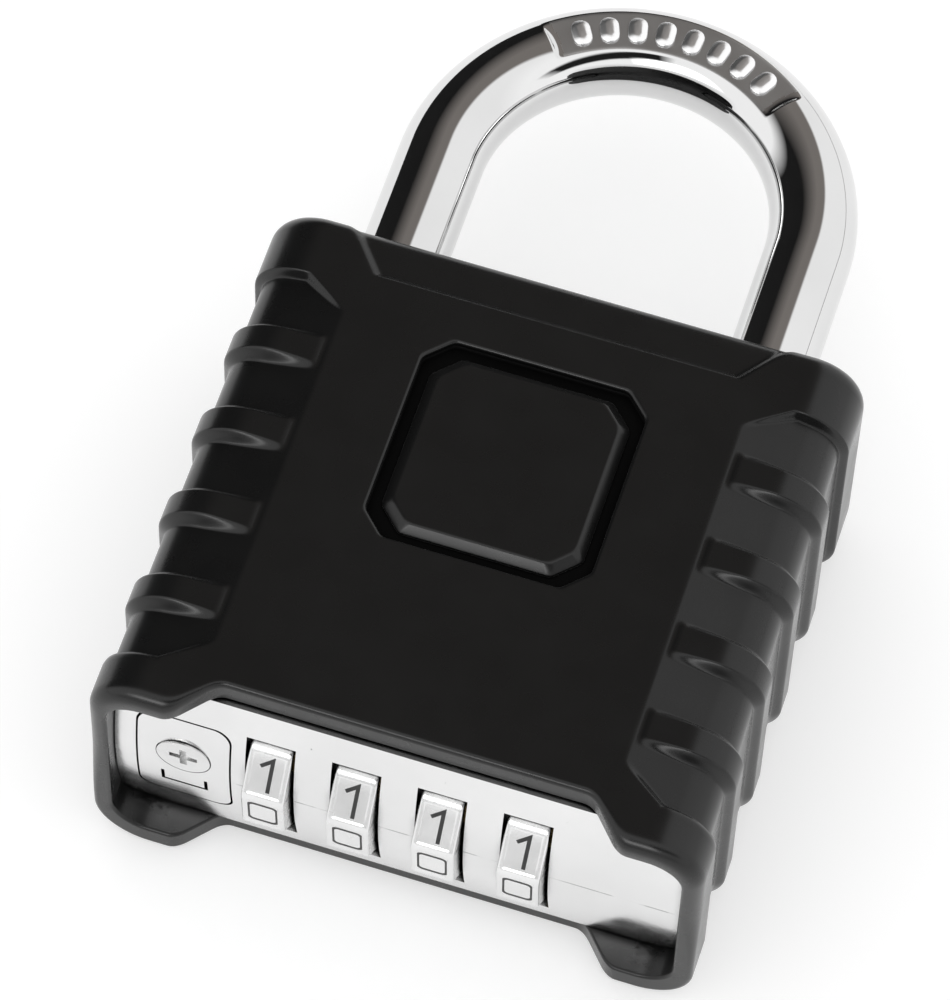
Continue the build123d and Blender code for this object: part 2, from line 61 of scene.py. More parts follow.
# Cover
CORNER_RADIUS = 5.6
FLAT_HALF = HALF_WIDTH - CORNER_RADIUS
TOP_EDGE = 2.2
LOWER_EDGE = 0.6
FRONT_EDGE_EXTRA = 0.9
POCKET_HALF_WIDTH = HALF_WIDTH - 2.0
POCKET_HALF_DEPTH = 12.3
POCKET_RADIUS = 3.6
POCKET_TOP = 54.2
NOTCH_HALF = 18.45
NOTCH_HEIGHT = 4.05
NOTCH_FLARE = 3.6
STEP_HALF = 18.35
STEP_HEIGHT = 51.45
STEP_FLARE = 4.6
STEP_DEPTH = 0.5
STEP_SOFTNESS = 0.45
HOLE_RADIUS = 4.8
SOFT_EDGE = 0.35

# Finger grips
GRIP_START = 20.14
GRIP_DEPTH = 0.87
GRIP_LEAN = math.radians(13.5)
GRIP_LOW = 5.33
GRIP_HIGH = 49.3
GRIP_CHEVRON = 3.1
RIDGE_START = 20.9
RIDGE_FIRST = 10.98
RIDGE_PITCH = 9.645
RIDGE_HEIGHT = 3.26
RIDGE_COUNT = 4
# Where a ridge's flanks begin and end, from its foot and from its top.
RIDGE_LOWER_FLANK = (-0.8, 0.35)
RIDGE_UPPER_FLANK = (-0.55, 0.45)
# Spacing of the cover's rows: fine round every change of depth, coarse between.
FINE_MARGIN = 0.1
FINE_STEP = 0.09
COARSE_STEP = 1.6

# Badge
BADGE_HEIGHT = 35.2
BADGE_POCKET_HALF = 11.3
BADGE_HALF = 10.1
BADGE_CORNER = 2.5
BADGE_DEPTH = 1.2
BADGE_BEVEL = 0.95
# Part of the front wall that is left open for the badge pocket and its border.
BADGE_GAP_HALF_WIDTH = 13.0
BADGE_GAP_HALF_HEIGHT = 12.4

# Shackle
BAR_RADIUS = 4.5
LEG_X = 19.3
BOW_CENTRE = 75.0
TOE_TIP = 43.0
HEEL_END = 33.5
HEEL_COLLAR = 1.5
NECK_RADIUS = 3.3
NECK_TOP = 52.15
RAMP_TOP = 52.2
RAMP_SLOPE = 2.2 / 14.5
PANEL_HALF_WIDTH = 2.2
PANEL_HALF_ANGLE = math.radians(39.0)
# Angle over which the panel's ends scoop up to the round bar.
SCOOP = 0.06
TOE_CHAMFER = 0.9
HEEL_CHAMFER = 0.8
BAR_STEP = 1.2
BOW_STEP = 0.03
TABLET_COUNT = 8
TABLET_HALF_WIDTH = 1.0
TABLET_HALF_LENGTH = 1.5
TABLET_CORNER = 0.95
TABLET_HEIGHT = 0.55
TABLET_EDGE = 0.12
TABLET_DOME = 0.28
TABLET_SPAN = 0.88

# Dials
DIAL_PITCH = 8.5
DIAL_AXIS = 8.4
DIAL_WIDTH = 4.3
DIAL_VERTEX_RADIUS = 9.3
DIAL_FACETS = 10
HUB_RADIUS = 3.35
FACET_ROUNDING = 1.5
FACET_DISH = 0.1
# Half of a facet from its edge inwards: (share of its half length, share of the dish's depth).
DISH_STEPS = [(1.0, 0.0), (0.97, 0.0), (0.93, 0.5), (0.89, 1.0), (0.5, 1.0)]
DIAL_EDGE = 0.3
DIAL_LEAN = math.radians(-2.5)
ZERO_STROKE = 0.17
DIGIT_STROKE = 0.2
DIGIT_RAISE = 0.015
DIGIT_SINK = 0.12


def to_frame(points):
    """Lock points in millimetres to metres in the row frame."""
    return np.asarray(points, float) * MM + np.array(ORIGIN)


def smoothstep(low, high, value):
    """0 at low to 1 at high, with level ends."""
    t = np.clip((value - low) / (high - low), 0.0, 1.0)
    return t * t * (3.0 - 2.0 * t)


def placed_object(name, mesh, materials):
    """Object in the scene that shows the mesh in the given materials."""
    for material in materials:
        mesh.materials.append(material)
    placed = bpy.data.objects.new(name, mesh)
    bpy.context.scene.collection.objects.link(placed)
    return placed


def new_piece(name, points, faces, body, materials, replaces=(), smooth=True):
    """Mesh piece from lock points, riding on a CAD body."""
    mesh = bpy.data.meshes.new(name)
    mesh.from_pydata([tuple(p) for p in to_frame(points)], [], [tuple(f) for f in faces])
    mesh.validate()
    return finish_piece(placed_object(name, mesh, materials), body, replaces, smooth)


def finish_piece(piece, body, replaces, smooth=True):
    """Cleans the mesh, shades it, and hands it to the frame."""
    work = bmesh.new()
    work.from_mesh(piece.data)
    bmesh.ops.remove_doubles(work, verts=work.verts, dist=0.002 * MM)
    bmesh.ops.recalc_face_normals(work, faces=work.faces)
    work.to_mesh(piece.data)
    work.free()
    piece.data.polygons.foreach_set("use_smooth", [smooth] * len(piece.data.polygons))
    if smooth:
        weighted = piece.modifiers.new("face_weighted_shading", "WEIGHTED_NORMAL")
        weighted.keep_sharp = True
        weighted.weight = 100
    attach(piece, body)
    if replaces:
        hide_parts(*replaces)
    return piece


# ---------------------------------------------------------------- materials


# How far away a wall still darkens a gap with painted shade, in metres.
GAP_REACH = 0.0018


class Nodes:
    """A Principled material that is put together from noise, ramps and sums."""

    def __init__(self, name):
        self.material = bpy.data.materials.new(name)
        self.material.use_nodes = True
        self.tree = self.material.node_tree
        self.shader = self.tree.nodes["Principled BSDF"]
        self.coordinates = self.tree.nodes.new("ShaderNodeTexCoord")

    def noise(self, scale, detail=4.0, stretch=(1.0, 1.0, 1.0)):
        """Noise in the piece's own coordinates, scale cells to the metre."""
        mapping = self.tree.nodes.new("ShaderNodeMapping")
        mapping.inputs["Scale"].default_value = stretch
        self.tree.links.new(self.coordinates.outputs["Object"], mapping.inputs["Vector"])
        noise = self.tree.nodes.new("ShaderNodeTexNoise")
        noise.inputs["Scale"].default_value = scale
        noise.inputs["Detail"].default_value = detail
        self.tree.links.new(mapping.outputs["Vector"], noise.inputs["Vector"])
        return noise.outputs["Fac"]

    def ramp(self, source, low, high):
        """Colour ramp between two greys or two colours."""
        ramp = self.tree.nodes.new("ShaderNodeValToRGB")
        ramp.color_ramp.elements[0].position = 0.3
        ramp.color_ramp.elements[1].position = 0.7
        ramp.color_ramp.elements[0].color = grey(low)
        ramp.color_ramp.elements[1].color = grey(high)
        self.tree.links.new(source, ramp.inputs["Fac"])
        return ramp.outputs["Color"]

    def math(self, operation, first, second=None):
        """Result of a sum on sockets and numbers."""
        node = self.tree.nodes.new("ShaderNodeMath")
        node.operation = operation
        for socket, value in zip(node.inputs, (first, second)):
            if isinstance(value, float):
                socket.default_value = value
            elif value is not None:
                self.tree.links.new(value, socket)
        return node.outputs[0]

    def remap(self, source, low, high):
        """0 at low to 1 at high, smoothly."""
        node = self.tree.nodes.new("ShaderNodeMapRange")
        node.interpolation_type = "SMOOTHSTEP"
        node.inputs["From Min"].default_value = low
        node.inputs["From Max"].default_value = high
        self.tree.links.new(source, node.inputs["Value"])
        return node.outputs[0]

    def open_share(self):
        """1 on open surfaces, falling to 0 in narrow gaps and grooves."""
        occlusion = self.tree.nodes.new("ShaderNodeAmbientOcclusion")
        occlusion.samples = 6
        occlusion.inputs["Distance"].default_value = GAP_REACH
        return self.remap(occlusion.outputs["AO"], 0.25, 0.75)

    def painted_gap_shade(self, colour):
        """Paints shade into a colour: darker in narrow gaps and grooves, where nearby walls would shade it.
        """
        return self.mix(self.open_share(), 0.04, colour)

    def mix(self, share, first, second):
        """Colour from first to second, each a grey number or a socket."""
        mix = self.tree.nodes.new("ShaderNodeMix")
        mix.data_type = "RGBA"
        self.tree.links.new(share, mix.inputs[0])
        for socket, value in ((mix.inputs[6], first), (mix.inputs[7], second)):
            if isinstance(value, float):
                socket.default_value = grey(value)
            else:
                self.tree.links.new(value, socket)
        return mix.outputs[2]

    def set(self, **values):
        """Constants on the shader's own sockets."""
        for name, value in values.items():
            self.shader.inputs[name.replace("_", " ")].default_value = value
        return self

    def link(self, source, socket):
        """Socket that drives one of the shader's own sockets."""
        self.tree.links.new(source, self.shader.inputs[socket])
        return self

    def bump(self, source, strength, distance):
        """Fine surface relief, distance in metres."""
        bump = self.tree.nodes.new("ShaderNodeBump")
        bump.inputs["Strength"].default_value = strength
        bump.inputs["Distance"].default_value = distance
        self.tree.links.new(source, bump.inputs["Height"])
        self.tree.links.new(bump.outputs["Normal"], self.shader.inputs["Normal"])
        return self


def grey(value):
    """Colour socket value of a grey level or of a red, green and blue triple."""
    if isinstance(value, (int, float)):
        return (value, value, value, 1.0)
    return (*value, 1.0)


def plastic_material(name, base, gloss, rough_low, rough_high):
    """Satin black moulded plastic: slightly uneven gloss over a very fine grain, with painted shade that
    takes the gloss away in narrow gaps.
    """
    nodes = Nodes(name)
    nodes.set(Metallic=0.0, Coat_Roughness=0.2, Sheen_Weight=0.05, Sheen_Roughness=0.3)
    # Painted shade: the gloss and coat fade out in narrow gaps and grooves, where nearby walls would hide
    # the reflections.
    open_share = nodes.open_share()
    nodes.link(nodes.math("MULTIPLY", open_share, gloss), "Specular IOR Level")
    nodes.link(nodes.math("MULTIPLY", open_share, gloss / 3), "Coat Weight")
    nodes.link(nodes.ramp(nodes.noise(60.0), base * 0.85, base * 1.15), "Base Color")
    nodes.link(nodes.ramp(nodes.noise(220.0), rough_low, rough_high), "Roughness")
    nodes.bump(nodes.noise(9000.0, 2.0), 0.12, 0.00002)
    return nodes.material


def metal_material(
    name, low, high, rough_low, rough_high, grain, grain_depth, stretch=(1, 1, 1), shade_gaps=False
):
    """Plated or bare metal: colour and gloss vary a little, over a fine grain; when asked, shade is painted
    into its narrow gaps and grooves.
    """
    nodes = Nodes(name)
    nodes.set(Metallic=1.0)
    colour = nodes.ramp(nodes.noise(90.0), low, high)
    # Painted shade: when asked, the colour darkens in narrow gaps and grooves.
    nodes.link(nodes.painted_gap_shade(colour) if shade_gaps else colour, "Base Color")
    nodes.link(nodes.ramp(nodes.noise(300.0, 4.0, stretch), rough_low, rough_high), "Roughness")
    nodes.bump(nodes.noise(grain, 3.0, stretch), grain_depth, 0.00002)
    return nodes.material


def casting_material(name):
    """Bright die casting, with dark speckles towards its back corners and a faint seam."""
    nodes = Nodes(name)
    nodes.set(Metallic=1.0)
    split = nodes.tree.nodes.new("ShaderNodeSeparateXYZ")
    nodes.tree.links.new(nodes.coordinates.outputs["Object"], split.inputs["Vector"])
    near_side = nodes.remap(nodes.math("ABSOLUTE", split.outputs["X"]), *SPECKLE_SIDE)
    near_back = nodes.remap(split.outputs["Z"], *SPECKLE_BACK)
    corner = nodes.math("MULTIPLY", near_side, near_back)
    grains = nodes.math("ADD", nodes.noise(2600.0, 3.0), nodes.math("MULTIPLY", corner, 0.36))
    speckled = nodes.mix(nodes.remap(grains, 0.74, 0.80), nodes.ramp(nodes.noise(90.0), 0.74, 0.80), 0.05)
    from_seam = nodes.math("ABSOLUTE", nodes.math("SUBTRACT", split.outputs["Z"], ORIGIN.z))
    seam_breaks = nodes.remap(nodes.noise(400.0), 0.4, 0.6)
    seam = nodes.math("MULTIPLY", nodes.remap(from_seam, *SEAM_EDGE), seam_breaks)
    # Painted shade darkens the casting's narrow gaps and grooves; the speckles and the seam are its own
    # colour.
    nodes.link(nodes.painted_gap_shade(nodes.mix(seam, speckled, 0.35)), "Base Color")
    nodes.link(nodes.ramp(nodes.noise(300.0), 0.16, 0.26), "Roughness")
    nodes.bump(nodes.noise(1500.0, 3.0), 0.3, 0.00003)
    return nodes.material


def paint_material(name, base):
    """Matt dark paint in the engraved digits."""
    nodes = Nodes(name)
    nodes.link(nodes.ramp(nodes.noise(900.0), base * 0.7, base * 1.3), "Base Color")
    nodes.link(nodes.ramp(nodes.noise(1500.0), 0.45, 0.65), "Roughness")
    return nodes.material


# Where the casting's speckles fade in and its seam fades out, in metres.
SPECKLE_SIDE = (0.020, 0.0275)
SPECKLE_BACK = (0.013, 0.002)
SEAM_EDGE = (0.00012, 0.00004)

BLACK = plastic_material("black_plastic", 0.005, 0.35, 0.24, 0.32)
# Painted shade: a darker, duller copy of the black plastic for the badge pocket's deep wall and floor.
POCKET_SHADE_PLASTIC = plastic_material("pocket_shade_plastic", 0.002, 0.04, 0.50, 0.60)
CHROME = metal_material("polished_chrome", 0.68, 0.72, 0.02, 0.05, 2500.0, 0.02)
PANEL_CHROME = metal_material("satin_panel", 0.55, 0.62, 0.28, 0.36, 3500.0, 0.1)
TABLET = metal_material("satin_tablet", 0.90, 0.95, 0.26, 0.34, 3500.0, 0.1)
ZINC = casting_material("bright_casting")
# The dial and trim metals get painted shade in their narrow gaps and grooves.
DIAL_METAL = metal_material("satin_dial", 0.74, 0.82, 0.20, 0.30, 2600.0, 0.2, shade_gaps=True)
TRIM = metal_material("satin_trim", 0.74, 0.80, 0.18, 0.26, 2200.0, 0.2, shade_gaps=True)
SCREW = metal_material("zinc_screw", 0.70, 0.80, 0.20, 0.30, 2600.0, 0.15)
STEEL = metal_material("stamped_steel", 0.50, 0.60, 0.28, 0.40, 1500.0, 0.3, (1, 8, 1))
WIRE = metal_material("spring_wire", 0.45, 0.55, 0.22, 0.30, 1500.0, 0.2)
BRASS = metal_material(
    "turned_brass", (0.70, 0.50, 0.20), (0.80, 0.60, 0.26), 0.20, 0.30, 1800.0, 0.2, (8, 1, 1)
)
DIGIT_PAINT = paint_material("digit_paint", 0.02)

CAD_MATERIALS = {
    "front_casting": ZINC,
    "rear_casting": ZINC,
    "reset_cover_plate": TRIM,
    "reset_cover_screw": SCREW,
    "casting_screws": SCREW,
    "retaining_pin": STEEL,
    "latch_slide": STEEL,
    "dial_shaft": STEEL,
    "reset_cam": STEEL,
    "detent_spring": WIRE,
    "detent_rivets": SCREW,
    "heel_spring": WIRE,
    "latch_spring": WIRE,
    "shaft_spring": WIRE,
}


def paint_cad_nodes():
    """Procedural material on every CAD node; the code sleeves are brass."""
    for name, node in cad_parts.items():
        material = CAD_MATERIALS.get(name, BRASS if name.startswith("code_sleeve") else BLACK)
        node.data.materials.clear()
        node.data.materials.append(material)


# ---------------------------------------------------------------- cover


def spread(marks, step):
    """Sorted values from the first mark to the last, at most step apart, with every mark kept."""
    values = []
    for low, high in zip(marks, marks[1:]):
        count = max(1, math.ceil((high - low) / step - 1e-6))
        values.extend(np.linspace(low, high, count + 1)[:-1])
    return values + [marks[-1]]


def front_places():
    """Places across the flat front, as shares of its half width: close together at the grips."""
    centre = [0.0, 6.5, 13.0, 17.6]
    dense = spread([17.6, NOTCH_HALF, GRIP_START, RIDGE_START, NOTCH_HALF + NOTCH_FLARE, FLAT_HALF], 0.3)
    right = np.array(centre[:-1] + dense) / FLAT_HALF
    return np.concatenate([-right[:0:-1], right])


def rounded_outline(half_width, half_depth, radius):
    """Points and outward normals round a rounded rectangle in x and z, front first, clockwise from above."""
    flat = half_width - radius
    side = half_depth - radius
    across = front_places()
    down = np.linspace(1, -1, 17)
    turn = np.linspace(0, math.pi / 2, 22)[1:-1]
    points = []
    normals = []
    quarters = [
        ([(flat * s, half_depth) for s in across], (0, 1), (flat, side), 0),
        ([(half_width, side * s) for s in down], (1, 0), (flat, -side), 1),
        ([(-flat * s, -half_depth) for s in across], (0, -1), (-flat, -side), 2),
        ([(-half_width, -side * s) for s in down], (-1, 0), (-flat, side), 3),
    ]
    for line, normal, centre, quarter in quarters:
        points.extend(line)
        normals.extend([normal] * len(line))
        for angle in turn + quarter * math.pi / 2:
            direction = (math.sin(angle), math.cos(angle))
            points.append((centre[0] + radius * direction[0], centre[1] + radius * direction[1]))
            normals.append(direction)
    return np.array(points, float), np.array(normals, float)


def valley_depth(across, facing):
    """Depth of the grips' floor: a leaning plane from the front, then an arc into the side."""
    run = FLAT_HALF - GRIP_START
    side = CORNER_RADIUS - GRIP_DEPTH
    sine = math.sin(GRIP_LEAN)
    cosine = math.cos(GRIP_LEAN)
    # Distances from the middle of the cover's rounded corner; around is the angle from straight ahead.
    plane = CORNER_RADIUS * cosine - run * sine
    radius = (plane - side * sine) / (1 - sine)
    offset = side - radius
    around = np.arccos(np.clip(facing, 0, 1))
    middle = offset * np.sin(around)
    on_arc = middle + np.sqrt(middle**2 - offset**2 + radius**2)
    on_plane = plane / np.cos(np.minimum(around - GRIP_LEAN, 1.2))
    arc_start = math.atan2(offset + radius * sine, radius * cosine)
    in_corner = CORNER_RADIUS - np.where(around < arc_start, on_plane, on_arc)
    on_front = np.clip(across - GRIP_START, 0, run) * math.tan(GRIP_LEAN)
    return np.where(facing > 0.999, on_front, in_corner)


def grip_depth(x, facing, y):
    """Depth of the finger grips, with their pointed ends and the ridges across them left standing."""
    across = np.where(facing > 0.999, np.abs(x), HALF_WIDTH)
    share = np.clip((across - GRIP_START) / (FLAT_HALF - GRIP_START), 0, 1)
    low = GRIP_LOW + GRIP_CHEVRON * (1 - share)
    high = GRIP_HIGH - GRIP_CHEVRON * (1 - share)
    open_zone = smoothstep(low - 0.5, low + 0.3, y) * (1 - smoothstep(high - 0.2, high + 0.25, y))
    ridge = np.zeros_like(y)
    for index in range(RIDGE_COUNT):
        foot = RIDGE_FIRST + index * RIDGE_PITCH
        top = foot + RIDGE_HEIGHT
        rising = smoothstep(foot + RIDGE_LOWER_FLANK[0], foot + RIDGE_LOWER_FLANK[1], y)
        falling = smoothstep(top + RIDGE_UPPER_FLANK[0], top + RIDGE_UPPER_FLANK[1], y)
        ridge = np.maximum(ridge, rising * (1 - falling))
    ridge = ridge * smoothstep(RIDGE_START - 0.15, RIDGE_START + 0.15, across)
    return valley_depth(across, facing) * open_zone * (1 - ridge)


def step_depth(x, facing, y):
    """Depth of the shallow step along the top edge, front and back."""
    rise = BODY_HEIGHT + 0.5 - STEP_HEIGHT
    length = math.hypot(STEP_FLARE, rise)
    slanted = (STEP_FLARE * (y - STEP_HEIGHT) - rise * (np.abs(x) - STEP_HALF)) / length
    inside = np.minimum(y - STEP_HEIGHT, slanted)
    return np.where(facing > 0.999, STEP_DEPTH * smoothstep(-STEP_SOFTNESS, STEP_SOFTNESS, inside), 0.0)


def soft_ramp(value):
    """Nought below nought and the value above it, with the corner rounded."""
    rounding = 0.25
    bend = (np.clip(value, -rounding, rounding) + rounding) ** 2 / (4 * rounding)
    return np.where(value > rounding, value, bend)


def rim_height(x, facing):
    """Height of the cover's lower rim: raised over the notches in the front and back walls."""
    share = (NOTCH_HALF + NOTCH_FLARE - np.abs(x)) / NOTCH_FLARE
    rising = soft_ramp(share)
    return np.where(facing > 0.999, NOTCH_HEIGHT * (rising - soft_ramp(share - 1.0)), 0.0)


def cover_levels():
    """Heights of the cover's rows above its lower rim, close together where its depth changes."""
    fine = [(5.0, 9.0)]
    for index in range(RIDGE_COUNT):
        foot = RIDGE_FIRST + index * RIDGE_PITCH
        top = foot + RIDGE_HEIGHT
        low, high = RIDGE_LOWER_FLANK
        fine.append((foot + low - FINE_MARGIN, foot + high + FINE_MARGIN / 2))
        low, high = RIDGE_UPPER_FLANK
        fine.append((top + low - FINE_MARGIN, top + high + FINE_MARGIN))
    fine.append((GRIP_HIGH - GRIP_CHEVRON - 0.3, GRIP_HIGH + 0.3))
    fine.append((STEP_HEIGHT - STEP_SOFTNESS - FINE_MARGIN, BODY_HEIGHT - TOP_EDGE))
    levels = []
    for low, high in fine:
        levels.extend(spread([low, high], FINE_STEP))
    return spread(sorted(set(np.round(levels, 4))), COARSE_STEP)


def ring_faces(rows, columns):
    """Quads between consecutive closed rings."""
    faces = []
    for row in range(rows - 1):
        for column in range(columns):
            after = (column + 1) % columns
            low = row * columns
            high = low + columns
            faces.append((low + column, low + after, high + after, high + column))
    return faces


def capped_ring_faces(rows, columns):
    """Quads between consecutive closed rings, and one face over each end."""
    ends = [tuple(range(columns))[::-1], tuple(range((rows - 1) * columns, rows * columns))]
    return ring_faces(rows, columns) + ends


def join_loops(work, loops):
    """Quads between consecutive closed vertex loops; returns those of the last pair."""
    for lower, upper in zip(loops, loops[1:]):
        walls = []
        for index in range(len(lower)):
            after = (index + 1) % len(lower)
            walls.append(work.faces.new((lower[index], lower[after], upper[after], upper[index])))
    return walls


def circle_points(radius, x, y, z, steps=64):
    """Horizontal circle round a leg, at height y."""
    angles = np.linspace(0, 2 * math.pi, steps, endpoint=False)
    return np.stack([x + radius * np.sin(angles), np.full(steps, y), z + radius * np.cos(angles)], 1)


def fill_flat(work, loops):
    """Fills the flat area bounded by closed vertex loops."""
    edges = []
    for loop in loops:
        for a, b in zip(loop, loop[1:] + loop[:1]):
            edges.append(work.edges.get((a, b)) or work.edges.new((a, b)))
    bmesh.ops.triangle_fill(work, edges=edges, use_beauty=True, use_dissolve=False)


def cover_rows():
    """Closed rows of points from the pocket's roof, down round the lower rim and up to the top."""
    outer, normals = rounded_outline(HALF_WIDTH, HALF_DEPTH, CORNER_RADIUS)
    inner, inner_normals = rounded_outline(POCKET_HALF_WIDTH, POCKET_HALF_DEPTH, POCKET_RADIUS)
    count = len(outer)
    facing = np.abs(normals[:, 1])
    rim = rim_height(outer[:, 0], facing)
    rows = []

    def add_row(outline, direction, inset, y):
        flat = outline - direction * np.reshape(inset, (-1, 1))
        rows.append(np.stack([flat[:, 0], np.broadcast_to(y, count), flat[:, 1]], 1))

    def add_outer(y, inset):
        y = np.broadcast_to(y, count).astype(float)
        depth = np.maximum(grip_depth(outer[:, 0], facing, y), step_depth(outer[:, 0], facing, y))
        add_row(outer, normals, depth + inset, y)

    add_row(inner, inner_normals, np.zeros(count), POCKET_TOP)
    add_row(inner, inner_normals, np.zeros(count), 8.0)
    for angle in np.linspace(0, math.pi / 2, 5):
        widening = np.full(count, -SOFT_EDGE * (1 - math.cos(angle)))
        add_row(inner, inner_normals, widening, rim + SOFT_EDGE * (1 - math.sin(angle)))
    front_share = smoothstep(-8.0, 4.0, outer[:, 1])
    edge_radius = LOWER_EDGE + FRONT_EDGE_EXTRA * (1 - rim / NOTCH_HEIGHT) * front_share
    for angle in np.linspace(0, math.pi / 2, 9):
        add_outer(rim + edge_radius * (1 - math.cos(angle)), edge_radius * (1 - math.sin(angle)))
    levels = cover_levels()
    start = rim + edge_radius
    for share in np.linspace(0, 1, 10)[1:-1]:
        add_outer(start + (levels[0] - start) * share, 0.0)
    for level in levels:
        add_outer(level, 0.0)
    for angle in np.linspace(0, math.pi / 2, 10)[1:]:
        add_outer(BODY_HEIGHT - TOP_EDGE + TOP_EDGE * math.sin(angle), TOP_EDGE * (1 - math.cos(angle)))
    return rows


def make_cover():
    """Black cover: one skin round the pocket and the outside, with badge pocket and shackle holes."""
    work = bmesh.new()
    grid = [[work.verts.new(point) for point in row] for row in cover_rows()]
    for lower, upper in zip(grid, grid[1:]):
        for column in range(len(lower)):
            after = (column + 1) % len(lower)
            corners = (lower[column], lower[after], upper[after], upper[column])
            middle = sum((corner.co for corner in corners), Vector()) / 4
            beside_badge = abs(middle.x) > BADGE_GAP_HALF_WIDTH or middle.z < HALF_DEPTH - 0.1
            if beside_badge or abs(middle.y - BADGE_HEIGHT) > BADGE_GAP_HALF_HEIGHT:
                work.faces.new(corners)
    add_badge_pocket(work)
    add_shackle_holes(work, grid[-1], grid[0])
    for vert in work.verts:
        vert.co = Vector(to_frame([vert.co])[0])
    mesh = bpy.data.meshes.new("cover_shell")
    work.to_mesh(mesh)
    work.free()
    piece = placed_object("cover_shell", mesh, [BLACK, POCKET_SHADE_PLASTIC])
    finish_piece(piece, "lock_body", ["outer_cover"])


def octagon_ring(half, corner, z, rounding):
    """Octagon with softened corners, as points in lock coordinates round the badge's centre."""
    inner = half - corner
    corners = [(half, -inner), (half, inner), (inner, half), (-inner, half)]
    corners += [(-half, inner), (-half, -inner), (-inner, -half), (inner, -half)]
    points = []
    total = len(corners)
    for index, corner_point in enumerate(corners):
        here = Vector(corner_point)
        before = (Vector(corners[index - 1]) - here).normalized() * rounding
        after = (Vector(corners[(index + 1) % total]) - here).normalized() * rounding
        for share in np.linspace(0, 1, 5):
            curve = here + before * (1 - share) ** 2 + after * share**2
            points.append((curve.x, BADGE_HEIGHT + curve.y, z))
    return points


def add_badge_pocket(work):
    """Octagonal pocket in the front wall, with a softened edge, set into the gap left in the grid."""
    rings = []
    for angle in np.linspace(0, math.pi / 2, 5):
        half = BADGE_POCKET_HALF + SOFT_EDGE * (1 - math.sin(angle))
        z = HALF_DEPTH - SOFT_EDGE * (1 - math.cos(angle))
        rings.append(octagon_ring(half, BADGE_CORNER, z, 0.5))
    rings.append(octagon_ring(BADGE_POCKET_HALF, BADGE_CORNER, HALF_DEPTH - BADGE_DEPTH, 0.5))
    loops = [[work.verts.new(point) for point in ring] for ring in rings]
    # The deep wall and the floor take the darker copy of the plastic, as painted shade.
    for wall in join_loops(work, loops):
        wall.material_index = 1
    work.faces.new(loops[-1]).material_index = 1
    front = HALF_DEPTH - 0.01
    border = [edge for edge in work.edges if edge.is_boundary and all(v.co.z > front for v in edge.verts)]
    bmesh.ops.triangle_fill(work, edges=border, use_beauty=True, use_dissolve=False)


def add_shackle_holes(work, top_ring, pocket_ring):
    """Closes the top of the cover and of its pocket round two softened holes."""
    top_loops = [list(top_ring)]
    pocket_loops = [list(pocket_ring)]
    for side in (1, -1):
        rings = []
        for angle in np.linspace(0, math.pi / 2, 5):
            radius = HOLE_RADIUS + SOFT_EDGE * (1 - math.sin(angle))
            height = BODY_HEIGHT - SOFT_EDGE * (1 - math.cos(angle))
            rings.append(circle_points(radius, side * LEG_X, height, 0))
        rings.append(circle_points(HOLE_RADIUS, side * LEG_X, POCKET_TOP, 0))
        loops = [[work.verts.new(point) for point in ring] for ring in rings]
        join_loops(work, loops)
        top_loops.append(loops[0])
        pocket_loops.append(loops[-1])
    fill_flat(work, top_loops)
    fill_flat(work, pocket_loops)


def make_badge():
    """Blank pad with a bevelled edge, in the badge pocket."""
    top = HALF_DEPTH
    rings = [
        octagon_ring(BADGE_HALF, BADGE_CORNER, top - BADGE_DEPTH, 0.4),
        octagon_ring(BADGE_HALF, BADGE_CORNER, top - BADGE_BEVEL, 0.4),
        octagon_ring(BADGE_HALF - 0.08, BADGE_CORNER - 0.03, top - BADGE_BEVEL + 0.12, 0.5),
        octagon_ring(BADGE_HALF - BADGE_BEVEL + 0.2, BADGE_CORNER - 0.35, top - 0.14, 0.6),
        octagon_ring(BADGE_HALF - BADGE_BEVEL + 0.05, BADGE_CORNER - 0.4, top - 0.03, 0.7),
        octagon_ring(BADGE_HALF - BADGE_BEVEL - 0.2, BADGE_CORNER - 0.5, top, 0.7),
    ]
    points = [point for ring in rings for point in ring]
    faces = capped_ring_faces(len(rings), len(rings[0]))
    new_piece("badge_pad", points, faces, "lock_body", [BLACK], ["front_badge"])


# ---------------------------------------------------------------- shackle


def bar_stations():
    """Stations along the bent bar, toe tip first: (x, y, None) on a leg, (None, None, angle) on the bow."""
    toe_leg = [TOE_TIP + TOE_CHAMFER, RAMP_TOP - 0.02, RAMP_TOP + 0.02, 60.0, BOW_CENTRE]
    stations = [(-LEG_X, y, None) for y in spread(toe_leg, BAR_STEP)]
    panel_ends = [-PANEL_HALF_ANGLE - SCOOP, -PANEL_HALF_ANGLE + SCOOP]
    marks = [-math.pi / 2, *panel_ends, 0.0, -panel_ends[1], -panel_ends[0], math.pi / 2]
    angles = []
    for low, high in zip(marks, marks[1:]):
        fine = high - low < 3 * SCOOP
        count = 14 if fine else max(2, math.ceil((high - low) / BOW_STEP))
        angles.extend(np.linspace(low, high, count + 1)[:-1])
    stations.extend((None, None, angle) for angle in angles)
    heel_leg = [HEEL_END + HEEL_CHAMFER]
    for end in (HEEL_END + HEEL_COLLAR, NECK_TOP):
        heel_leg += [end - 0.02, end + 0.02]
    heel_leg.append(BOW_CENTRE)
    stations.extend((LEG_X, y, None) for y in spread(heel_leg, BAR_STEP)[::-1])
    return stations


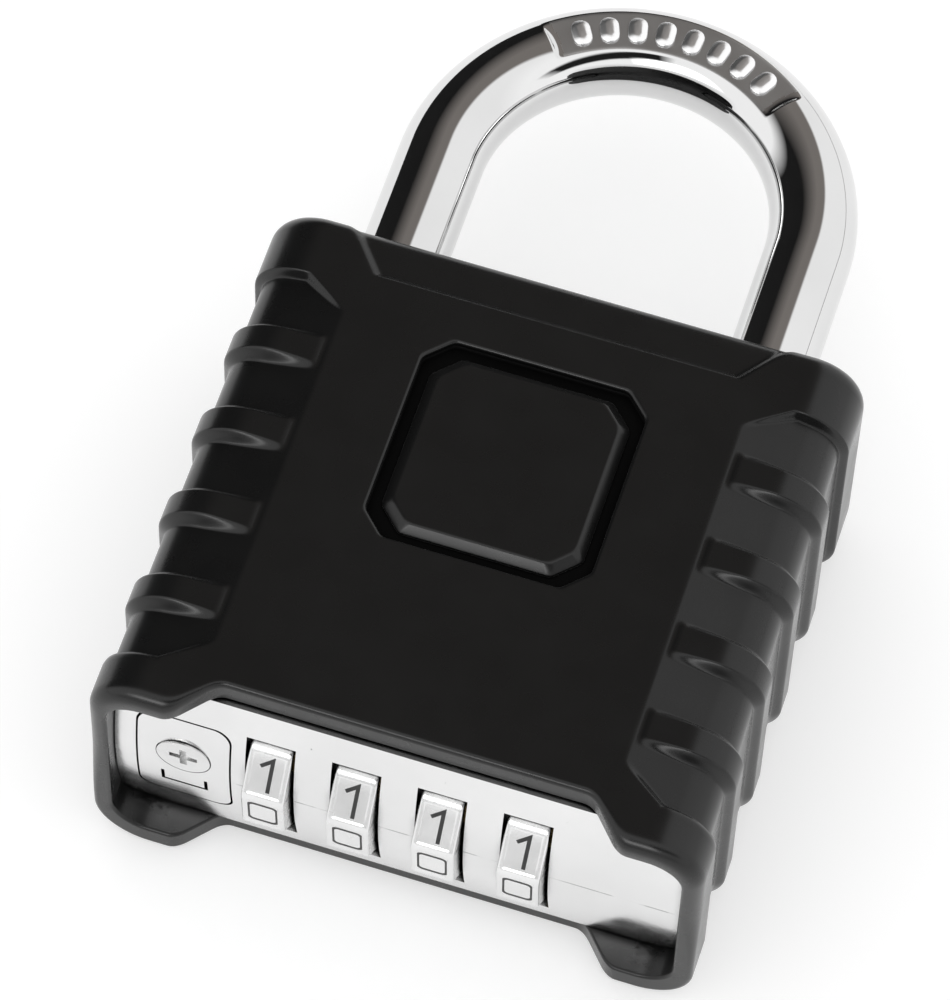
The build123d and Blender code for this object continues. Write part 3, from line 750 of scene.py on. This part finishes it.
def make_shackle():
    """Bent bar with its recessed panel, latch ramp and neck, as rings of points along the bar."""
    edge_angle = math.asin(PANEL_HALF_WIDTH / BAR_RADIUS)
    section = sorted(set(np.round(np.concatenate([
        np.linspace(-edge_angle, edge_angle, 13),
        np.linspace(edge_angle, 2 * math.pi - edge_angle, 70),
    ]), 9)))[:-1]
    section = np.array(section)
    floor = BAR_RADIUS * math.cos(edge_angle)
    rows = []
    for x, y, angle in bar_stations():
        if angle is None:
            centre = np.array([x, y, 0.0])
            outward = np.array([math.copysign(1.0, x), 0.0, 0.0])
        else:
            centre = np.array([LEG_X * math.sin(angle), BOW_CENTRE + LEG_X * math.cos(angle), 0.0])
            outward = np.array([math.sin(angle), math.cos(angle), 0.0])
        radius = BAR_RADIUS
        if angle is None and x > 0 and HEEL_END + HEEL_COLLAR < y < NECK_TOP:
            radius = NECK_RADIUS
        side = radius * np.sin(section)
        front = radius * np.cos(section)
        if angle is not None:
            into_panel = np.clip((PANEL_HALF_ANGLE + SCOOP * 0.4 - abs(angle)) / SCOOP, 0, 1)
            inside = math.sqrt(1 - (1 - into_panel) ** 2)
            sunk = np.minimum(front, floor)
            front = np.where(front > 0, front + (sunk - front) * inside, front)
        ring = centre + np.outer(side, outward) + np.outer(front, [0.0, 0.0, 1.0])
        if angle is None and x < 0 and y < RAMP_TOP:
            limit = -LEG_X + BAR_RADIUS - RAMP_SLOPE * (y - TOE_TIP)
            ring[:, 0] = np.minimum(ring[:, 0], limit)
        rows.append(ring)
    rows.insert(0, end_ring(rows[0], TOE_TIP, TOE_CHAMFER))
    rows.append(end_ring(rows[-1], HEEL_END, HEEL_CHAMFER))
    faces = capped_ring_faces(len(rows), len(section))
    points = np.concatenate(rows)
    materials = [CHROME, PANEL_CHROME]
    piece = new_piece("shackle_bar", points, faces, "shackle", materials, ["shackle"])
    level = (floor + 0.02) * MM + ORIGIN.z
    for polygon in piece.data.polygons:
        on_bow = polygon.center.y > BOW_CENTRE * MM + ORIGIN.y
        if on_bow and polygon.normal.z > 0.999 and polygon.center.z < level:
            polygon.material_index = 1


def end_ring(ring, y, inset):
    """Last ring of a leg, chamfered in towards the leg's middle."""
    middle = ring.mean(axis=0)
    away = ring - middle
    length = np.linalg.norm(away, axis=1, keepdims=True)
    end = middle + away * (1 - inset / length)
    end[:, 1] = y
    return end


def tablet_shape(low, high):
    """Points and faces of a slab with rounded corners and a domed top, in local u, v, w."""
    edge = TABLET_EDGE
    shoulder = high - TABLET_DOME
    steps = [(0.0, low), (0.0, shoulder - edge)]
    for angle in np.linspace(0, 1.2, 4)[1:]:
        steps.append((edge * (1 - math.cos(angle)), shoulder - edge * (1 - math.sin(angle))))
    for share in (0.25, 0.5, 0.75):
        steps.append((edge + (TABLET_CORNER - edge - 0.02) * share, high - TABLET_DOME * (1 - share) ** 2))
    corner_u = TABLET_HALF_WIDTH - TABLET_CORNER
    corner_v = TABLET_HALF_LENGTH - TABLET_CORNER
    points = []
    for inset, w in steps:
        radius = TABLET_CORNER - inset
        for index, (sign_u, sign_v) in enumerate([(1, 1), (-1, 1), (-1, -1), (1, -1)]):
            for angle in np.linspace(0, math.pi / 2, 5) + index * math.pi / 2:
                u = sign_u * corner_u + radius * math.cos(angle)
                v = sign_v * corner_v + radius * math.sin(angle)
                points.append((u, v, w))
    return np.array(points), capped_ring_faces(len(steps), len(points) // len(steps))


def make_tablets():
    """Blank raised tablets in the shackle's recessed panel."""
    edge_angle = math.asin(PANEL_HALF_WIDTH / BAR_RADIUS)
    floor = BAR_RADIUS * math.cos(edge_angle)
    span = 2 * PANEL_HALF_ANGLE * TABLET_SPAN
    local, faces = tablet_shape(floor - 0.1, floor + TABLET_HEIGHT)
    for index in range(TABLET_COUNT):
        angle = -span / 2 + span * (index + 0.5) / TABLET_COUNT
        outward = np.array([math.sin(angle), math.cos(angle), 0.0])
        along = np.array([math.cos(angle), -math.sin(angle), 0.0])
        centre = np.array([0.0, BOW_CENTRE, 0.0]) + outward * LEG_X
        points = centre + np.outer(local[:, 0], along) + np.outer(local[:, 1], outward)
        points[:, 2] += local[:, 2]
        new_piece(f"shackle_tablet_{index + 1}", points, faces, "shackle", [TABLET])


# ---------------------------------------------------------------- dials


def turned(along, out, angle):
    """(y, z) of a point at a distance out along a facet's normal, and along it, with facet 0 facing down."""
    angle = angle + DIAL_LEAN
    y = -out * math.cos(angle) + along * math.sin(angle)
    z = out * math.sin(angle) + along * math.cos(angle)
    return (y, z)


def wheel_profile():
    """Points, outward normals and dishing shares round a ten-sided wheel, lowest facet first."""
    half_turn = math.pi / DIAL_FACETS
    apothem = DIAL_VERTEX_RADIUS * math.cos(half_turn)
    flat = (apothem - FACET_ROUNDING) * math.tan(half_turn)
    across_facet = [(-share, sunk) for share, sunk in DISH_STEPS] + [(0.0, 1.0)] + DISH_STEPS[::-1]
    points = []
    normals = []
    dished = []
    for facet in range(DIAL_FACETS):
        angle = facet * 2 * half_turn
        for share, sunk in across_facet:
            points.append(turned(share * flat, apothem, angle))
            normals.append(turned(0, 1, angle))
            dished.append(sunk)
        y, z = turned(flat, apothem - FACET_ROUNDING, angle)
        for step in (0.2, 0.4, 0.6, 0.8):
            direction = turned(0, 1, angle + step * 2 * half_turn)
            points.append((y + FACET_ROUNDING * direction[0], z + FACET_ROUNDING * direction[1]))
            normals.append(direction)
            dished.append(0)
    return np.array(points), np.array(normals), np.array(dished)


def make_dial(index):
    """Dial wheel with softened side edges, and its ten digits."""
    centre = DIAL_PITCH * (index - 2.5)
    profile, normals, dished = wheel_profile()
    rows = []

    def add_ring(x, inset, dish=0.0):
        ring = profile - normals * (inset + dish * FACET_DISH * dished)[:, None]
        rows.append(np.stack([np.full(len(ring), centre + x), ring[:, 0] + DIAL_AXIS, ring[:, 1]], 1))

    half = DIAL_WIDTH / 2
    field = half - DIAL_EDGE - 0.15
    edge = []
    for angle in np.linspace(0, math.pi / 2, 5):
        edge.append((half - DIAL_EDGE * (1 - math.sin(angle)), DIAL_EDGE * (1 - math.cos(angle))))
    for x, inset in edge[::-1]:
        add_ring(-x, inset)
    field_steps = [(field, 0.0), (field - 0.12, 0.5), (field - 0.24, 1.0)]
    for x, dish in field_steps:
        add_ring(-x, 0.0, dish)
    add_ring(0.0, 0.0, 1.0)
    for x, dish in field_steps[::-1]:
        add_ring(x, 0.0, dish)
    for x, inset in edge:
        add_ring(x, inset)
    hub = normals * HUB_RADIUS
    for side in (1, -1):
        rows.append(np.stack([np.full(len(hub), centre + side * half), hub[:, 0] + DIAL_AXIS, hub[:, 1]], 1))
    rows.append(rows[0])
    name = f"dial_wheel_body_{index}"
    faces = ring_faces(len(rows), len(profile))
    body = f"dial_{index}"
    new_piece(name, np.concatenate(rows), faces, body, [DIAL_METAL], [f"dial_wheel_{index}"])
    make_digits(index, centre, body)


def arc(x, y, radius_x, radius_y, start, end, steps=14):
    """Points on an ellipse, angles in degrees from the right, anticlockwise."""
    angles = np.radians(np.linspace(start, end, steps))
    return [(x + radius_x * math.cos(a), y + radius_y * math.sin(a)) for a in angles]


def rounded_zero():
    """Outline of the broad zero."""
    points = []
    for x, y, start in ((0.85, 1.15, 0), (-0.85, 1.15, 90), (-0.85, -1.15, 180), (0.85, -1.15, 270)):
        points += arc(x, y, 0.6, 0.6, start, start + 90, 6)
    return points + [points[0]]


def digit_strokes(digit):
    """Centre lines of a digit's strokes, in millimetres, 3.5 mm high."""
    six = [arc(0, -0.75, 1.0, 1.0, 0, 360, 26), [(-1.0, -0.75), (-0.85, 0.35), (-0.35, 1.2), (0.45, 1.75)]]
    strokes = {
        0: [rounded_zero()],
        1: [[(-0.7, 0.95), (0.35, 1.75), (0.35, -1.75)]],
        2: [arc(0, 0.72, 1.0, 1.02, 165, -35) + [(-1.0, -1.72), (0.9, -1.72)]],
        3: [arc(0, 0.88, 0.92, 0.87, 150, -80) + arc(0, -0.85, 1.02, 0.9, 80, -150)],
        4: [[(0.5, -1.75), (0.5, 1.75), (-1.1, -0.75), (1.1, -0.75)]],
        5: [[(0.9, 1.75), (-0.8, 1.75), (-0.92, 0.25)] + arc(0, -0.65, 1.05, 1.1, 130, -150)],
        6: six,
        7: [[(-1.0, 1.75), (1.05, 1.75), (-0.25, -1.75)]],
        8: [arc(0, 0.88, 0.88, 0.87, 0, 360, 24), arc(0, -0.85, 1.02, 0.9, 0, 360, 26)],
        9: [[(-x, -y) for x, y in stroke] for stroke in six],
    }
    return strokes[digit]


def ribbon(line, half):
    """Left and right edges of a stroke of constant width, and whether the stroke is closed."""
    line = np.array(line, float)
    closed = np.allclose(line[0], line[-1])
    forward = np.diff(line, axis=0)
    forward /= np.linalg.norm(forward, axis=1, keepdims=True)
    first = forward[-1] if closed else forward[0]
    last = forward[0] if closed else forward[-1]
    before = np.vstack([first, forward])
    after = np.vstack([forward, last])
    middle = before + after
    middle /= np.linalg.norm(middle, axis=1, keepdims=True)
    stretch = 1 / np.clip((middle * after).sum(axis=1), 0.45, 1)
    normal = np.stack([-middle[:, 1], middle[:, 0]], 1) * stretch[:, None]
    if not closed:
        line = line.copy()
        line[0] -= forward[0] * half * 0.5
        line[-1] += forward[-1] * half * 0.5
    return line + normal * half, line - normal * half, closed


def make_digits(index, centre, body):
    """Dark inlaid digits, one on each facet: nought faces down at rest, one is next towards the front."""
    half_turn = math.pi / DIAL_FACETS
    field = DIAL_VERTEX_RADIUS * math.cos(half_turn) - FACET_DISH
    points = []
    faces = []
    for digit in range(DIAL_FACETS):
        angle = digit * 2 * half_turn
        width = ZERO_STROKE if digit == 0 else DIGIT_STROKE
        for stroke in digit_strokes(digit):
            left, right, closed = ribbon(stroke, width)
            base = len(points)
            count = len(left)
            for edge_points in (left, right):
                for out in (field + DIGIT_RAISE, field - DIGIT_SINK):
                    for across, up in edge_points:
                        y, z = turned(up, out, angle)
                        points.append((centre + across, y + DIAL_AXIS, z))
            rails = [base, base + count, base + 3 * count, base + 2 * count]
            for step in range(count - 1):
                for a, b in zip(rails, rails[1:] + rails[:1]):
                    faces.append((a + step, a + step + 1, b + step + 1, b + step))
            if not closed:
                faces.append(tuple(rails))
                faces.append(tuple(rail + count - 1 for rail in rails[::-1]))
    new_piece(f"dial_digits_{index}", points, faces, body, [DIGIT_PAINT], smooth=False)


# ---------------------------------------------------------------- stage


def make_floor():
    """Plain pale floor that the lock lies on, in metres."""
    half = 3.0
    corners = [(-half, -half, 0), (half, -half, 0), (half, half, 0), (-half, half, 0)]
    mesh = bpy.data.meshes.new("floor")
    mesh.from_pydata(corners, [], [(0, 1, 2, 3)])
    nodes = Nodes("pale_floor")
    nodes.set(Specular_IOR_Level=0.1, Emission_Color=grey(1.0), Emission_Strength=0.45)
    nodes.link(nodes.ramp(nodes.noise(4.0), 0.62, 0.64), "Base Color")
    nodes.link(nodes.ramp(nodes.noise(9.0), 0.85, 0.95), "Roughness")
    placed_object("floor", mesh, [nodes.material])


# What reflections see round the lock, as stops of (place, level). TURN is the angle from straight up
# towards the right, and LEAN the one from straight up towards the shackle, as shares of a full turn
# with up at 0.5. TOWARDS runs from 0 ahead of the dials to 1 beyond the shackle, SIDE from -1 on the
# left to 1 on the right, and HEIGHT up to 1 straight overhead.
LIGHT = 1.15
DOME_STRENGTH = 1.05
WARM_DARK = (0.115, 0.106, 0.100)
WARM = (0.215, 0.197, 0.184)
DARK_TURN = [
    (0.222, LIGHT),
    (0.239, 0.015),
    (0.394, 0.012),
    (0.439, WARM_DARK),
    (0.486, WARM),
    (0.537, WARM),
    (0.551, 1.05),
]
DARK_TOWARDS = [(0.42, 1.0), (0.55, 0.0)]
CARD_LEAN = [(0.355, 0.0), (0.365, 1.0), (0.405, 1.0), (0.42, 0.0)]
CARD_CENTRE = 0.35
CARD_EDGE = [(0.38, 1.0), (0.50, 0.0)]
CARD_LEVEL = 0.015
FRONT_TOWARDS = [(0.08, 1.0), (0.2, 0.0)]
FRONT_HEIGHT = [(0.30, 1.0), (0.42, 0.0)]
FRONT_LEVEL = 0.72
STRIP_HEIGHT = [(0.41, 0.0), (0.46, 1.0), (0.60, 1.0), (0.70, 0.0)]
STRIP_TOWARDS = [(0.11, 1.0), (0.17, 0.0)]
STRIP_SIDE = [(0.0, 1.0), (0.22, 0.0)]
STRIP_LEVEL = 5.5
HORIZON_HEIGHT = [(0.012, 0.15), (0.03, 1.0)]
HORIZON_LEVEL = 0.1


def make_world():
    """Even white dome for soft light, which reflections see with dark areas and a bright low strip."""
    world = bpy.data.worlds.new("studio")
    bpy.context.scene.world = world
    world.use_nodes = True
    tree = world.node_tree
    tree.nodes.clear()
    output = tree.nodes.new("ShaderNodeOutputWorld")
    background = tree.nodes.new("ShaderNodeBackground")
    coordinates = tree.nodes.new("ShaderNodeTexCoord")
    split = tree.nodes.new("ShaderNodeSeparateXYZ")
    tree.links.new(coordinates.outputs["Generated"], split.inputs["Vector"])
    side, forward, height = split.outputs

    def feed(socket, value):
        if isinstance(value, bpy.types.NodeSocket):
            tree.links.new(value, socket)
        else:
            socket.default_value = value

    def math_node(operation, first, second=0.0):
        node = tree.nodes.new("ShaderNodeMath")
        node.operation = operation
        feed(node.inputs[0], first)
        feed(node.inputs[1], second)
        return node.outputs[0]

    def ramp(value, stops):
        node = tree.nodes.new("ShaderNodeValToRGB")
        elements = node.color_ramp.elements
        while len(elements) < len(stops):
            elements.new(0.5)
        for element, (position, level) in zip(elements, stops):
            element.position = position
            element.color = grey(level)
        tree.links.new(value, node.inputs["Fac"])
        return node.outputs["Color"]

    def blend(share, first, second):
        node = tree.nodes.new("ShaderNodeMix")
        node.data_type = "RGBA"
        tree.links.new(share, node.inputs[0])
        for socket, value in ((node.inputs[6], first), (node.inputs[7], second)):
            feed(socket, grey(value) if isinstance(value, float) else value)
        return node.outputs[2]

    def share_of_turn(level):
        angle = math_node("ARCTAN2", level, height)
        return math_node("ADD", math_node("DIVIDE", angle, 2 * math.pi), 0.5)

    # The dark area is on the shackle's side of the lock.
    towards = math_node("ADD", math_node("MULTIPLY", forward, 0.5), 0.5)
    dark_area = ramp(share_of_turn(side), DARK_TURN)
    seen = blend(ramp(towards, DARK_TOWARDS), dark_area, LIGHT)
    # A narrow dark card near the camera.
    from_card = math_node("ABSOLUTE", math_node("SUBTRACT", side, CARD_CENTRE))
    card = math_node("MULTIPLY", ramp(share_of_turn(forward), CARD_LEAN), ramp(from_card, CARD_EDGE))
    seen = blend(card, seen, CARD_LEVEL)
    # A slightly darker area ahead of the dials, with a bright strip above it.
    ahead = math_node("MULTIPLY", ramp(towards, FRONT_TOWARDS), ramp(height, FRONT_HEIGHT))
    seen = blend(ahead, seen, FRONT_LEVEL)
    strip = math_node("MULTIPLY", ramp(height, STRIP_HEIGHT), ramp(towards, STRIP_TOWARDS))
    strip = math_node("MULTIPLY", strip, ramp(side, STRIP_SIDE))
    seen = blend(strip, seen, STRIP_LEVEL)
    # A thin dark horizon.
    horizon = ramp(math_node("ABSOLUTE", height), HORIZON_HEIGHT)
    seen = blend(horizon, HORIZON_LEVEL, seen)
    light_path = tree.nodes.new("ShaderNodeLightPath")
    colour = blend(light_path.outputs["Is Glossy Ray"], 1.0, seen)
    tree.links.new(colour, background.inputs["Color"])
    background.inputs["Strength"].default_value = DOME_STRENGTH
    tree.links.new(background.outputs["Background"], output.inputs["Surface"])


def make_camera():
    """Long lens above the lower end of the lock, slightly to its right."""
    azimuth = math.radians(15.95)
    elevation = math.radians(60.75)
    roll = math.radians(2.12)
    distance = 0.5948
    target = Vector((-0.00454, 0.01229, 0.01111))
    level = math.cos(elevation)
    back = Vector((math.sin(azimuth) * level, -math.cos(azimuth) * level, math.sin(elevation)))
    camera = bpy.data.objects.new("camera", bpy.data.cameras.new("camera"))
    bpy.context.scene.collection.objects.link(camera)
    turn = back.to_track_quat("Z", "Y").to_matrix() @ Matrix.Rotation(roll, 3, "Z")
    camera.matrix_world = Matrix.Translation(target + back * distance) @ turn.to_4x4()
    camera.data.lens = 216.3
    camera.data.sensor_width = 36.0
    camera.data.clip_start = 0.01
    bpy.context.scene.camera = camera


def squash_springs():
    """Gives the two springs that shorten as their joints move meshes of their own."""
    springs = {
        "latch_spring": ("latch_travel", 3.0, 10.0, 2.2),
        "shaft_spring": ("shaft_shift", 25.5, 4.5, 1.0),
    }
    for name, (joint, far_end, length, travel) in springs.items():
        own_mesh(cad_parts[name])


paint_cad_nodes()
squash_springs()
make_cover()
make_badge()
make_shackle()
make_tablets()
for dial in range(1, 5):
    make_dial(dial)
make_floor()
make_world()
make_camera()
bpy.context.scene.view_settings.view_transform = "Standard"
